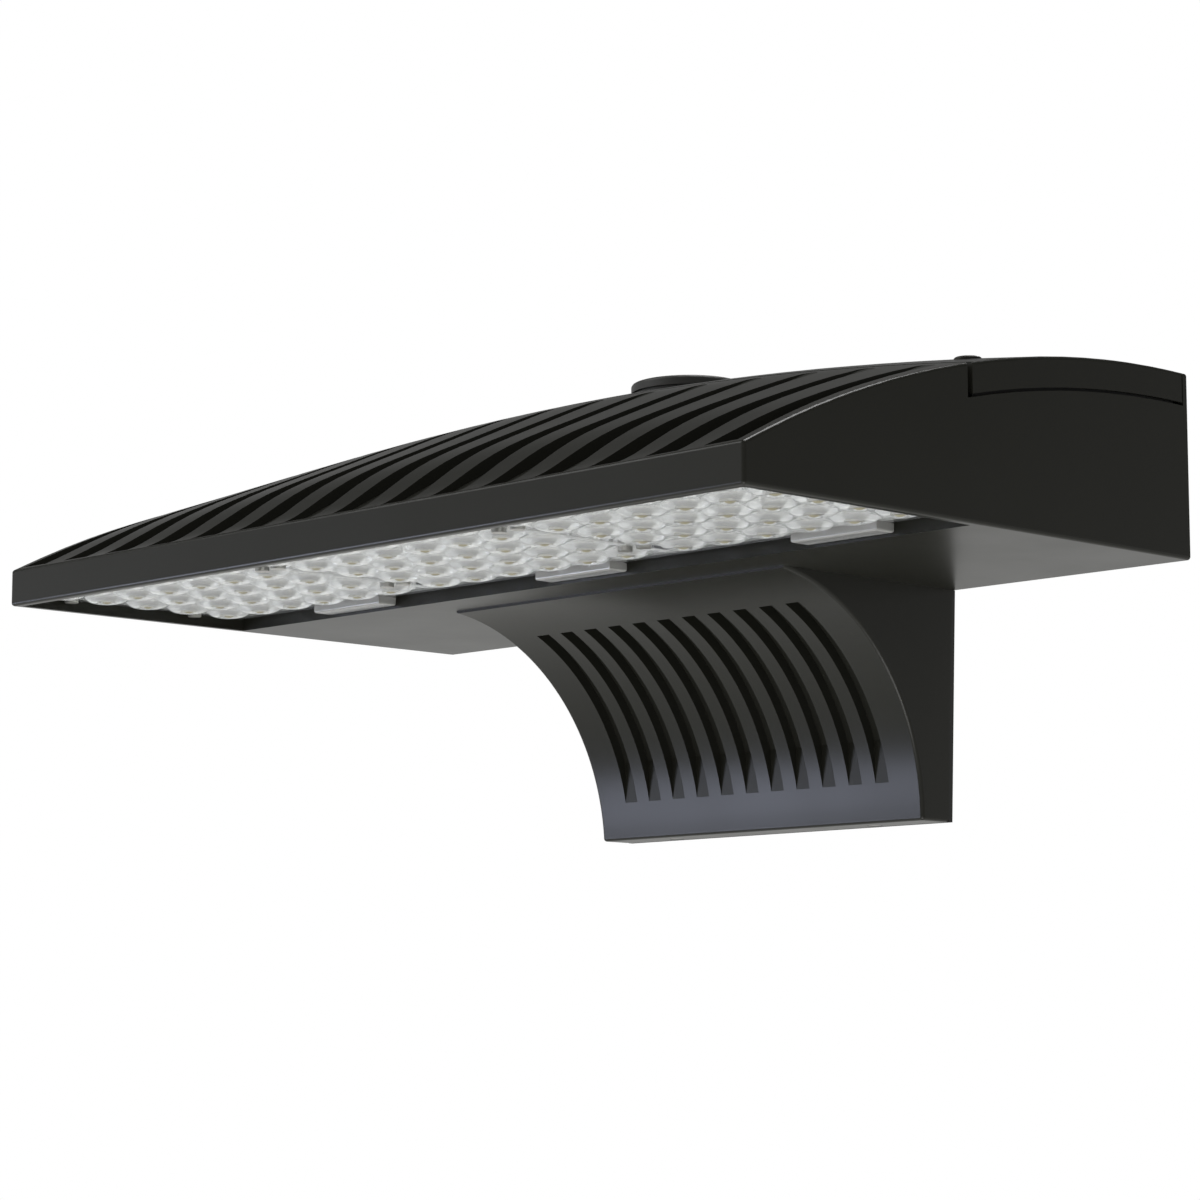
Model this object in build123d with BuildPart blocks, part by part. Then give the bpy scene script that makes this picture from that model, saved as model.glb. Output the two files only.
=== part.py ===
"""Wall pack light: a wide finned head on a ribbed wall bracket, with a side-hinged service lid.

Row frame: +X to the right along the wall, +Y into the wall, +Z up. The origin is the centre of the
wall plate's bolt pattern, on the wall. Lengths are millimetres.
"""
import os
from math import acos, cos, degrees, radians, sin, sqrt

from build123d import *

# ---------------------------------------------------------------- driving dimensions
# Head, measured from the front face (depth) and from the flat underside (height)
head_width = 560.0
reach = 327.0            # wall to front face
head_standoff = 1.0      # air between the head's back and the wall
band_height = 19.7       # upright front face
side_height = 95.5       # highest point of the side face
crest_depth = 313.6      # where that point lies behind the front face
crown = 18.0             # how much higher the top is at mid width
crown_run = 164.0        # depth over which the crown grows to its full height
crown_start = 0.3        # crown left at the front face
side_wall = 7.0
back_wall = 11.0
rear_floor = 5.0
edge_round = 1.8

# Fins on the front of the head
fin_count = 15           # grooves
fin_pitch = 37.5
groove_width = 21.0      # at the front
groove_tail = 11.0       # at the back
groove_depth = 7.2
groove_start = 3.5
groove_full = 60.0       # depth to which a groove keeps its full depth
groove_end = 148.0
skin_under_groove = 4.5
front_block = 45.0       # solid metal behind the front face
web = 6.0                # webs between the three chambers under the fins
rear_web = 4.0           # web behind them

# Optics
optic_count = 3
pocket_wall = 5.0        # rim round the optic pocket
pocket_back = 160.0      # back wall of the pocket
pocket_depth = 11.5
sink_base = 5.0          # metal above the pocket
board_thickness = 1.6
chip_size = 5.0
chip_height = 0.6
optic_gasket_height = 0.7
optic_gasket_width = 4.0
lens_plate_thickness = 3.0
lens_pitch = 28.6
lens_columns = 6
lens_rows = 5
first_row = 18.5         # first row of lenses behind the front face
lens_radius = 12.0
lens_height = 3.4
lens_top_radius = 9.1
lens_sides = 8
optic_gap = 0.4          # between neighbouring optics and to the pocket's walls
plate_back = 156.5       # back edge of the lens plates
cover_width = 56.0       # connector cover at the back of each optic
cover_length = 12.5
cover_offset = 16.5      # to the right of the optic's middle
cover_height = 4.6
cover_round = 1.2
cover_leg_inset = 4.0    # narrower leg behind the lens plate
optic_screw_inset = 6.5

# Lid
lid_front_gap = 3.6
lid_back_gap = 0.8
lid_front = 153.6        # back face of the finned block
lid_skirt = 15.4
part_gap = 1.6           # visible parting line
lid_skin = 3.0
lid_rim = 7.0            # skirt and seal land together
skirt_wall = 3.0
back_lip = 3.2           # strip of the back wall that stands behind the lid
beam_depth = 11.4        # ledge under the lid's front edge
beam_height = 6.0
beam_lift = 4.0          # wider bay from here upwards, above the chambers' floor
seal_clearance = 0.3
seal_width = 3.4
seal_recess = 1.5        # how far the seal land stays above the skirt's edge

# Lid hinge, along the head's left side
hinge_stations = (205.0, 295.0)
hinge_height = 61.0
hinge_standoff = 5.5
hinge_barrel = 4.5
hinge_pin = 2.0
hinge_running = 0.05
leaf_length = 12.0
ear_length = 6.0
ear_gap = 0.3
gusset = 9.5
leaf_rise = 4.0          # the leaf's outer and wall ends above the skirt's edge
leaf_top = 10.0
leaf_wall_gap = 0.4

# Quarter-turn studs, along the lid's right side
stud_inset = 30.0
stud_stations = (190.0, 290.0)
stud_shank = 3.0
stud_running = 0.05
stud_head = 7.0
stud_head_height = 3.0
stud_head_round = 1.2
stud_head_gap = 1.0      # to the spot face's wall
stud_slot = 1.8
stud_slot_depth = 1.2
stud_sink = 2.4          # spot face below the lid's top
stud_reach = 37.0        # lid top to catch plate
stud_boss = 7.0
stud_boss_height = 6.0
bar_length = 16.0
bar_width = 4.0
bar_height = 4.0
bar_gap = 0.6            # under the catch plate
bar_well_gap = 1.5       # round the bar's swing
catch_thickness = 2.0
catch_slot_width = 8.4
catch_slot_length = 21.0
catch_length = 46.0
catch_inset = 1.0        # plate inside the shelf's sides
catch_screw_inset = 5.0
shelf_width = 42.0
shelf_height = 12.0
clip_thickness = 1.0
clip_radius = 5.5
clip_gap = 0.2

# Photocontrol on the lid
control_depth = 251.0    # behind the front face
pad_radius = 34.0
pad_rise = 0.6
pad_thickness = 12.0
control_gasket = 0.8
flange_radius = 30.0
flange_height = 1.8
neck_radius = 24.0
neck_length = 24.0
neck_fit = 0.2
cap_radius = 31.4
cap_height = 5.2
cap_round = 1.8
cap_gap = 0.1
seal_ring_outer = 24.2
seal_ring_inner = 20.7
seal_ring_height = 1.2
seal_fit = 0.3
screw_groove = 6.0       # under the cap, over the flange's screws
screw_groove_depth = 1.3
blade_circle = 13.0
blade_thickness = 1.2
blade_angle = 28.0
blade_length = 12.0
blade_fit = 0.5
slot_bottom = 2.0        # slot past the blade's end
tab_thickness = 0.8      # terminals under the receptacle
tab_width = 6.3
tab_length = 8.0
cap_turn = 35.0
control_screw_circle = 27.2

# Wall bracket: a cowl with a quarter-round cove, and its wall plate
bracket_height = 124.0
bracket_half_top = 125.0
bracket_half_bottom = 121.0
cove_radius = 128.0
cove_centre = 175.0      # depth of the cove's centre behind the front face
cove_tip = 1.2           # thickness of the cowl's front tip
cowl_wall = 9.0
cowl_side = 6.0
cowl_top = 6.0
cowl_bottom = 5.0
rib_grooves = 11
rib_pitch = 19.0
rib_groove_width = 9.5
rib_groove_depth = 6.0
groove_top_angle = 25.0  # from straight above the cove's centre
groove_ramp_angle = 69.0
groove_foot_angle = 78.7
groove_lead = 3.0        # turn over which a groove gets its depth at the top
groove_overcut = 4.0     # cutter in front of the cove
wall_gasket_thickness = 3.0
wall_plate_thickness = 3.0
plate_clearance = 1.0
wall_bolt_span_x = 180.0
wall_bolt_span_z = 70.0
wall_bolt_hole = 3.5
supply_bore = 11.1
hook_span = 120.0
hook_width = 30.0
rail_width = 36.0
rail_drop = 15.0
rail_thickness = 3.0
rail_gap = 1.0           # to the hook's lip
rail_back_gap = 2.0      # to the plate
hook_lip = 7.0
lug_span = 150.0
lug_width = 22.0
lug_length = 8.0
cowl_bolt_span = 170.0
cowl_bolt_depths = (272.0, 304.0)
cowl_bolt = 4.0
cowl_bolt_boss = 9.0
cowl_bolt_boss_height = 10.0
cowl_bolt_end = 14.0     # above the underside
cowl_bolt_head = 7.5
cowl_bolt_head_height = 5.3
washer_radius = 8.0
washer_thickness = 1.2
bracket_screw_sink = 2.4
counterbore_fit = 0.4
wireway_depth = 288.0
wireway_radius = 17.0
grommet_wall = 2.5
grommet_lip = 2.0
grommet_flange = 3.0

# Driver bay
tray_width = 352.0
tray_centre = -62.0
tray_front = 172.0
tray_back = 308.0
tray_sheet = 1.5
tray_flange = 10.0
tray_screw_inset = 10.0
tray_notch = 42.0        # in the tray's back edge, over the wireway
standoff_height = 12.0
standoff_radius = 5.0
driver_length = 232.0
driver_width = 62.0
driver_height = 36.0
driver_round = 4.0
driver_screw_rows = (-20.0, 20.0)
case_ear = 12.0          # screw ears of the pieces on the tray
case_ear_thickness = 2.0
case_screw_length = 8.0
driver_ear_inset = 4.0   # ears narrower than the driver, on each side
surge_ear_width = 16.0
terminal_ear_width = 14.0
surge_length = 58.0
surge_width = 40.0
surge_height = 28.0
terminal_ways = 3
terminal_way = 13.0
terminal_width = 24.0
terminal_height = 17.0
way_depth = 5.0
way_wall = 2.4
way_end = 2.5
terminal_screw = 3.2
terminal_screw_height = 2.5
terminal_screw_slot = 1.0
terminal_slot_depth = 0.8
ground_place = (165.0, 250.0)
ground_boss_height = 8.0
ground_boss_radius = 7.0
ground_screw_length = 6.0

screw_shank = 2.0        # M4 screws
screw_fit = 0.1
screw_head = 3.8
screw_head_height = 2.4
small_screw = 1.5        # M3 screws
small_screw_head = 2.8
small_screw_head_height = 1.8
small_screw_length = 8.0
low_screw_head = 2.6     # under the photocontrol's cap
low_screw_head_height = 1.0
blind_floor = 3.0        # metal under a blind hole in the bay's bosses
overlap = 1.0            # how far cuts and joined forms run past a face
form_margin = 6.0        # crowned form outside the head's outline

# ---------------------------------------------------------------- derived sizes and places
half_width = head_width / 2
underside = bracket_height / 2
side_rise = side_height - band_height
side_radius = (crest_depth ** 2 + side_rise ** 2) / (2 * side_rise)
back_face = reach - head_standoff
tall = side_height + crown + 5 * form_margin
pocket_half = half_width - pocket_wall
optic_pitch = 2 * pocket_half / optic_count
optic_centres = [(i - (optic_count - 1) / 2) * optic_pitch for i in range(optic_count)]
optic_names = ["left", "centre", "right"]
optic_width = optic_pitch - optic_gap
board_face = underside + pocket_depth - board_thickness
lens_back = board_face - optic_gasket_height
lens_face = lens_back - lens_plate_thickness
optic_near = pocket_wall + optic_gap
chamber_floor = underside + pocket_depth + sink_base
lid_near = lid_front + lid_front_gap
lid_far = back_face - back_lip - lid_back_gap
bay_front = lid_front + beam_depth
bay_back = back_face - back_wall
bay_half = half_width - side_wall
bay_floor = underside + rear_floor
hinge_x = -(half_width + hinge_standoff)
hinge_z = underside + hinge_height
stud_x = half_width - stud_inset
cove_z = underside - cove_radius
cowl_back = reach - wall_gasket_thickness


def y_at(depth):
    """Row-frame y of a place that lies so far behind the front face."""
    return depth - reach


def side_top(depth):
    """Height of the side profile above the underside: one arc that levels out at the crest."""
    return side_height - side_radius + sqrt(side_radius ** 2 - (crest_depth - depth) ** 2)


def crown_rise(depth):
    return crown_start + (crown - crown_start) * min(depth / crown_run, 1.0)


def top_z(x, depth):
    """Row-frame z of the head's top surface."""
    return underside + side_top(depth) + crown_rise(depth) * (1 - (x / half_width) ** 2)


def groove_cut(depth):
    """Depth of the fin grooves: full at the front, running out to nothing at the back."""
    run = max(depth - groove_full, 0.0) / (groove_end - groove_full)
    return groove_depth * (1 - run ** 1.6)


def across(depth):
    """Upright plane across the head, so far behind the front face; its own y is the row's z."""
    return Plane.XZ.offset(reach - depth)


def crowned_section(depth, lower):
    """Face under the top surface at one depth, lowered by the given amount."""
    edge = half_width + form_margin
    floor = underside - form_margin
    rim = top_z(edge, depth) - lower
    with BuildSketch(across(depth)) as section:
        with BuildLine():
            Polyline((-edge, rim), (-edge, floor), (edge, floor), (edge, rim))
            ThreePointArc((edge, rim), (0, top_z(0, depth) - lower), (-edge, rim))
        make_face()
    return section.sketch


# ---------------------------------------------------------------- shared forms
form_stations = [reach * i / 8 for i in range(9)]

with BuildPart() as crowned_form:
    loft([crowned_section(depth, 0.0) for depth in form_stations])

with BuildPart() as groove_floor:
    loft([crowned_section(depth, groove_cut(depth)) for depth in form_stations[:5]])


def dropped(drop):
    """The crowned form moved straight down."""
    return Pos(0, 0, -drop) * crowned_form.part


def plan(half, near, far, level, middle=0.0):
    """Rectangle of the plan at one level, between two depths."""
    with BuildSketch(Plane.XY.offset(level)) as area:
        with Locations((middle, y_at((near + far) / 2))):
            Rectangle(2 * half, far - near)
    return area.sketch


def under_top(drop, half, near, far, level, middle=0.0):
    """Space over a rectangle of the plan, up to the top surface moved down by drop."""
    with BuildPart() as space:
        extrude(plan(half, near, far, level, middle), amount=tall)
        add(dropped(drop), mode=Mode.INTERSECT)
    return space.part


def above_top(drop, half, near, far):
    """Space over a rectangle of the plan, above the top surface moved down by drop."""
    with BuildPart() as space:
        extrude(plan(half, near, far, underside), amount=tall)
        add(dropped(drop), mode=Mode.SUBTRACT)
    return space.part


def spread(count, pitch):
    """Places of a row of equal parts about the middle."""
    return [(i - (count - 1) / 2) * pitch for i in range(count)]


def cylinder(x, depth, low, high, radius):
    """Upright cylinder at a place of the plan, between two levels."""
    with BuildPart() as post:
        with BuildSketch(Plane.XY.offset(low)):
            with Locations((x, y_at(depth))):
                Circle(radius)
        extrude(amount=high - low)
    return post.part


def pan_screw(x, depth, seat, length, shank=screw_shank, head=screw_head, height=screw_head_height, down=1):
    """Screw on a seat: its head lies on the side that down points to, its shank on the other."""
    with BuildPart() as screw:
        with Locations((x, y_at(depth), seat - down * height / 2)):
            Cylinder(head, height)
        with Locations((x, y_at(depth), seat + down * length / 2)):
            Cylinder(shank, length)
    return screw.part


def save(part, name):
    """Label one finished piece and write its STEP file."""
    part.label = name
    export_step(part, f"parts/{name}.step")


os.makedirs("parts", exist_ok=True)

# ---------------------------------------------------------------- places used by several pieces
groove_places = spread(fin_count, fin_pitch)
chamber_drop = groove_depth + skin_under_groove
chamber_back = lid_front - rear_web
chamber_half = (bay_half - web) / optic_count
chamber_places = spread(optic_count, 2 * chamber_half + web)
step_depth = pocket_back + web
part_drop = lid_skirt + part_gap
lens_places = [(x, first_row + row * lens_pitch)
               for x in spread(lens_columns, lens_pitch) for row in range(lens_rows)]
optic_screw_x = optic_width / 2 - optic_screw_inset
optic_screw_places = [(side * optic_screw_x, first_row + (row + 0.5) * lens_pitch)
                      for side in (-1, 1) for row in (0, lens_rows - 2)]
tray_level = bay_floor + standoff_height
tray_top = tray_level + tray_sheet
tray_half = tray_width / 2
tray_screw_places = [(tray_centre + side * (tray_half - tray_screw_inset), depth) for side in (-1, 1)
                     for depth in (tray_front + tray_screw_inset, tray_back - tray_screw_inset)]
cowl_bolt_places = [(side * cowl_bolt_span / 2, depth) for side in (-1, 1) for depth in cowl_bolt_depths]
driver_place = (-90.0, 212.0)
surge_place = (-180.0, 277.0)
terminal_place = (72.0, 275.0)
terminal_length = terminal_ways * terminal_way
cowl_ceiling = underside - cowl_top
cowl_ground = -underside + cowl_bottom
plate_front = cowl_back - wall_plate_thickness
rail_y = y_at(plate_front) - rail_back_gap - rail_thickness / 2
lip_y = rail_y - rail_thickness - rail_gap
hook_level = cowl_ceiling - rail_drop
lug_screw_places = [(side * lug_span / 2, plate_front - lug_length / 2) for side in (-1, 1)]


def catch_z(depth):
    """Upper face of the catch plate under one stud."""
    return top_z(stud_x, depth) - stud_reach


def stud_seat(depth):
    return top_z(stud_x, depth) - stud_sink


def catch_screw_places(depth):
    return [(stud_x, depth + side * (catch_length / 2 - catch_screw_inset)) for side in (-1, 1)]


# ---------------------------------------------------------------- housing
with BuildPart() as groove_cutter:
    with BuildSketch(Plane.XY.offset(underside)):
        near, far = y_at(groove_start), y_at(groove_end - groove_tail / 2)
        wide, slim = groove_width / 2, groove_tail / 2
        for x in groove_places:
            with Locations((x, 0)):
                Polygon((-wide, near), (wide, near), (slim, far), (-slim, far), align=None)
            with Locations((x, far)):
                Circle(slim)
    extrude(amount=tall)
    add(groove_floor.part, mode=Mode.SUBTRACT)

lid_space = above_top(part_drop, half_width + overlap, lid_front, back_face - back_lip)
chambers = [under_top(chamber_drop, chamber_half, front_block, chamber_back + overlap, chamber_floor, x)
            for x in chamber_places]
bay_neck = under_top(part_drop + beam_height, bay_half, chamber_back, step_depth + overlap, chamber_floor)
bay_low = under_top(part_drop + beam_height, bay_half, step_depth, bay_back, bay_floor)


def hinge_ear(centre):
    """Pair of ears on the housing's left wall, either side of the lid's leaf."""
    wall = overlap - half_width
    with BuildPart() as ears:
        for side in (-1, 1):
            middle = centre + side * (leaf_length / 2 + ear_gap + ear_length / 2)
            with BuildSketch(across(middle - ear_length / 2)):
                with Locations((hinge_x, hinge_z)):
                    Circle(hinge_barrel)
                Polygon((hinge_x, hinge_z - hinge_barrel), (wall, hinge_z - hinge_barrel - gusset),
                        (wall, hinge_z), (hinge_x, hinge_z), align=None)
            extrude(amount=-ear_length)
    return ears.part


def catch_shelf(depth):
    """Shelf on the right wall that carries a catch plate over a well for the stud's cross bar."""
    high = catch_z(depth) - catch_thickness
    with BuildPart() as shelf:
        extrude(plan(shelf_width / 2, depth - catch_length / 2, depth + catch_length / 2,
                     high - shelf_height, bay_half + overlap - shelf_width / 2), amount=shelf_height)
        add(cylinder(stud_x, depth, high - shelf_height - overlap, high + overlap,
                     bar_length / 2 + bar_well_gap), mode=Mode.SUBTRACT)
        for x, place in catch_screw_places(depth):
            add(cylinder(x, place, high - small_screw_length, high + overlap, small_screw + screw_fit),
                mode=Mode.SUBTRACT)
    return shelf.part


with BuildPart() as head_block:
    extrude(plan(half_width, 0, back_face, underside), amount=tall)
    add(crowned_form.part, mode=Mode.INTERSECT)
    rear_face = head_block.faces().sort_by(Axis.Y)[-1]
    fillet(head_block.edges() - rear_face.edges(), edge_round)

with BuildPart() as housing:
    add(head_block.part)
    add(groove_cutter.part, mode=Mode.SUBTRACT)
    add(lid_space, mode=Mode.SUBTRACT)
    for chamber in chambers:
        add(chamber, mode=Mode.SUBTRACT)
    add(bay_neck, mode=Mode.SUBTRACT)
    add(bay_low, mode=Mode.SUBTRACT)
    extrude(plan(bay_half, bay_front, bay_back, chamber_floor + beam_lift), amount=tall, mode=Mode.SUBTRACT)
    extrude(plan(pocket_half, pocket_wall, pocket_back, underside), amount=pocket_depth, mode=Mode.SUBTRACT)
    for station in hinge_stations:
        add(hinge_ear(station))
    for station in stud_stations:
        add(catch_shelf(station))
    for x, depth in tray_screw_places:
        add(cylinder(x, depth, bay_floor - overlap, tray_level, standoff_radius))
        add(cylinder(x, depth, bay_floor + blind_floor, tray_level + overlap, screw_shank + screw_fit),
            mode=Mode.SUBTRACT)
    for x, depth in cowl_bolt_places:
        add(cylinder(x, depth, bay_floor - overlap, bay_floor + cowl_bolt_boss_height, cowl_bolt_boss))
        add(cylinder(x, depth, underside - overlap, bay_floor + cowl_bolt_boss_height + overlap,
                     cowl_bolt + screw_fit), mode=Mode.SUBTRACT)
    add(cylinder(*ground_place, bay_floor - overlap, bay_floor + ground_boss_height, ground_boss_radius))
    add(cylinder(*ground_place, bay_floor + ground_boss_height - ground_screw_length,
                 bay_floor + ground_boss_height + overlap, screw_shank + screw_fit), mode=Mode.SUBTRACT)
    add(cylinder(0, wireway_depth, underside - overlap, bay_floor + overlap, wireway_radius), mode=Mode.SUBTRACT)
    for centre in optic_centres:
        for x, depth in optic_screw_places:
            low = underside + pocket_depth - overlap
            add(cylinder(centre + x, depth, low, low + sink_base, screw_shank + screw_fit), mode=Mode.SUBTRACT)
    for station in hinge_stations:
        span = leaf_length / 2 + ear_gap + ear_length + overlap
        with BuildSketch(across(station - span)):
            with Locations((hinge_x, hinge_z)):
                Circle(hinge_pin)
        extrude(amount=-2 * span, mode=Mode.SUBTRACT)
save(housing.part, "housing")

# ---------------------------------------------------------------- lid and its seal
lid_hollow = under_top(lid_skin, half_width - lid_rim, lid_near + lid_rim, lid_far - lid_rim, underside)
seal_land = under_top(lid_skirt - seal_recess, half_width - skirt_wall, lid_near + skirt_wall,
                      lid_far - skirt_wall, underside)
pad_z = top_z(0, control_depth) + pad_rise


def hinge_leaf(centre):
    """Strap on the lid's left skirt that reaches down to the hinge's barrel."""
    skirt = top_z(half_width, centre + leaf_length / 2) - lid_skirt
    wall = -half_width
    with BuildPart() as leaf:
        with BuildSketch(across(centre - leaf_length / 2)):
            with Locations((hinge_x, hinge_z)):
                Circle(hinge_barrel)
            Polygon((hinge_x - hinge_barrel, hinge_z), (hinge_x - hinge_barrel, skirt + leaf_rise),
                    (wall + overlap, skirt + leaf_top), (wall + overlap, skirt + overlap),
                    (wall - leaf_wall_gap, skirt + overlap), (wall - leaf_wall_gap, hinge_z), align=None)
            with Locations((hinge_x, hinge_z)):
                Circle(hinge_pin + hinge_running, mode=Mode.SUBTRACT)
        extrude(amount=-leaf_length)
    return leaf.part


with BuildPart() as top_lid:
    extrude(plan(half_width, lid_near, lid_far, underside), amount=tall)
    add(head_block.part, mode=Mode.INTERSECT)
    add(dropped(lid_skirt), mode=Mode.SUBTRACT)
    add(lid_hollow, mode=Mode.SUBTRACT)
    add(seal_land, mode=Mode.SUBTRACT)
    add(cylinder(0, control_depth, pad_z - pad_thickness, pad_z, pad_radius))
    add(cylinder(0, control_depth, pad_z, pad_z + pad_thickness, pad_radius), mode=Mode.SUBTRACT)
    add(cylinder(0, control_depth, pad_z - neck_length, pad_z + overlap, neck_radius + neck_fit),
        mode=Mode.SUBTRACT)
    for x in (-control_screw_circle, control_screw_circle):
        add(cylinder(x, control_depth, pad_z - small_screw_length, pad_z + overlap, small_screw + screw_fit),
            mode=Mode.SUBTRACT)
    for depth in stud_stations:
        seat = stud_seat(depth)
        add(cylinder(stud_x, depth, seat - stud_boss_height, seat, stud_boss))
        add(cylinder(stud_x, depth, seat, seat + stud_reach, stud_head + stud_head_gap), mode=Mode.SUBTRACT)
        add(cylinder(stud_x, depth, seat - stud_reach, seat + overlap, stud_shank + stud_running),
            mode=Mode.SUBTRACT)
    for station in hinge_stations:
        add(hinge_leaf(station))
save(top_lid.part, "top_lid")

with BuildPart() as lid_gasket:
    edge = skirt_wall + seal_clearance
    extrude(plan(half_width - edge, lid_near + edge, lid_far - edge, underside), amount=tall)
    edge += seal_width
    extrude(plan(half_width - edge, lid_near + edge, lid_far - edge, underside), amount=tall,
            mode=Mode.SUBTRACT)
    add(dropped(lid_skirt - seal_recess + seal_clearance), mode=Mode.INTERSECT)
    add(dropped(part_drop), mode=Mode.SUBTRACT)
save(lid_gasket.part, "lid_gasket")

with BuildPart() as lid_hinge_pins:
    span = leaf_length / 2 + ear_gap + ear_length
    for station in hinge_stations:
        with BuildSketch(across(station - span)):
            with Locations((hinge_x, hinge_z)):
                Circle(hinge_pin)
        extrude(amount=-2 * span)
save(lid_hinge_pins.part, "lid_hinge_pins")

# ---------------------------------------------------------------- quarter-turn studs and their catches


def lid_stud(depth):
    """Slotted head on the lid, shank, and a cross bar under the catch plate, stored unlocked."""
    seat = stud_seat(depth)
    bar_top = catch_z(depth) - catch_thickness - bar_gap
    y = y_at(depth)
    with BuildPart() as stud:
        with Locations((stud_x, y, seat + stud_head_height / 2)):
            Cylinder(stud_head, stud_head_height)
        fillet(stud.edges().group_by(Axis.Z)[-1], stud_head_round)
        with Locations((stud_x, y, seat + stud_head_height)):
            Box(2 * (stud_head + overlap), stud_slot, 2 * stud_slot_depth, mode=Mode.SUBTRACT)
        add(cylinder(stud_x, depth, bar_top - bar_height, seat + overlap, stud_shank))
        with Locations((stud_x, y, bar_top - bar_height / 2)):
            Box(bar_width, bar_length, bar_height)
    return stud.part


def stud_clip(depth):
    """Ring on the shank that keeps the stud in the lid."""
    high = stud_seat(depth) - stud_boss_height - clip_gap
    ring = cylinder(stud_x, depth, high - clip_thickness, high, clip_radius)
    return ring - cylinder(stud_x, depth, high - clip_thickness - overlap, high + overlap, stud_shank)


for end, depth in zip(("front", "rear"), stud_stations):
    save(lid_stud(depth), f"{end}_lid_stud")
    save(stud_clip(depth), f"{end}_stud_clip")

with BuildPart() as catch_plates:
    for depth in stud_stations:
        high = catch_z(depth)
        extrude(plan(shelf_width / 2 - catch_inset, depth - catch_length / 2, depth + catch_length / 2,
                     high - catch_thickness, bay_half - shelf_width / 2), amount=catch_thickness)
        with BuildSketch(Plane.XY.offset(high)):
            with Locations((stud_x, y_at(depth))):
                SlotOverall(catch_slot_length, catch_slot_width, rotation=90)
            with Locations(*[(x, y_at(place)) for x, place in catch_screw_places(depth)]):
                Circle(small_screw + screw_fit)
        extrude(amount=-catch_thickness, mode=Mode.SUBTRACT)
save(catch_plates.part, "catch_plates")

with BuildPart() as catch_screws:
    for depth in stud_stations:
        for x, place in catch_screw_places(depth):
            add(pan_screw(x, place, catch_z(depth), small_screw_length, shank=small_screw,
                          head=small_screw_head, height=small_screw_head_height, down=-1))
save(catch_screws.part, "catch_screws")

# ---------------------------------------------------------------- optics
with BuildPart() as lens_bump:
    for level, radius in ((lens_face, lens_radius), (lens_face - lens_height, lens_top_radius)):
        with BuildSketch(Plane.XY.offset(level)):
            RegularPolygon(radius, lens_sides, rotation=180 / lens_sides)
    loft()

for name, centre in zip(optic_names, optic_centres):
    half = optic_width / 2
    with BuildSketch(Plane.XY) as screw_holes:
        with Locations(*[(centre + x, y_at(depth)) for x, depth in optic_screw_places]):
            Circle(screw_shank + screw_fit)

    with BuildPart() as led_board:
        extrude(plan(half, optic_near, plate_back, board_face, centre), amount=board_thickness)
        extrude(Pos(0, 0, board_face) * screw_holes.sketch, amount=board_thickness, mode=Mode.SUBTRACT)
    save(led_board.part, f"led_board_{name}")

    with BuildPart() as optic_gasket:
        extrude(plan(half, optic_near, plate_back, lens_back, centre), amount=optic_gasket_height)
        extrude(plan(half - optic_gasket_width, optic_near + optic_gasket_width,
                     plate_back - optic_gasket_width, lens_back, centre),
                amount=optic_gasket_height, mode=Mode.SUBTRACT)
    save(optic_gasket.part, f"optic_gasket_{name}")

    with BuildPart() as lens_plate:
        extrude(plan(half, optic_near, plate_back, lens_face, centre), amount=lens_plate_thickness)
        with Locations(*[(centre + x, y_at(depth), 0) for x, depth in lens_places]):
            add(lens_bump.part)
        extrude(Pos(0, 0, lens_face - lens_height) * screw_holes.sketch,
                amount=lens_plate_thickness + lens_height, mode=Mode.SUBTRACT)
    save(lens_plate.part, f"lens_plate_{name}")

    cover_far = pocket_back - optic_gap
    cover_near = cover_far - cover_length
    with BuildPart() as connector_cover:
        extrude(plan(cover_width / 2, cover_near, cover_far, lens_face - cover_height, centre + cover_offset),
                amount=cover_height)
        fillet(connector_cover.edges().group_by(Axis.Z)[0], cover_round)
        extrude(plan(cover_width / 2 - cover_leg_inset, plate_back + optic_gap, cover_far, lens_face - overlap,
                     centre + cover_offset), amount=underside + pocket_depth - lens_face + overlap)
    save(connector_cover.part, f"connector_cover_{name}")

with BuildPart() as led_chips:
    for centre in optic_centres:
        with BuildSketch(Plane.XY.offset(board_face)):
            with Locations(*[(centre + x, y_at(depth)) for x, depth in lens_places]):
                Rectangle(chip_size, chip_size)
        extrude(amount=-chip_height)
save(led_chips.part, "led_chips")

with BuildPart() as optic_screws:
    for centre in optic_centres:
        for x, depth in optic_screw_places:
            add(pan_screw(centre + x, depth, lens_face, lens_plate_thickness + optic_gasket_height
                          + board_thickness + 2.5))
save(optic_screws.part, "optic_screws")

# ---------------------------------------------------------------- photocontrol
gasket_top = pad_z + control_gasket
flange_top = gasket_top + flange_height

receptacle_gasket = cylinder(0, control_depth, pad_z, gasket_top, flange_radius)
receptacle_gasket -= cylinder(0, control_depth, pad_z, gasket_top, neck_radius + neck_fit)
for x in (-control_screw_circle, control_screw_circle):
    receptacle_gasket -= cylinder(x, control_depth, pad_z, gasket_top, small_screw + screw_fit)
save(receptacle_gasket, "receptacle_gasket")


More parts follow.
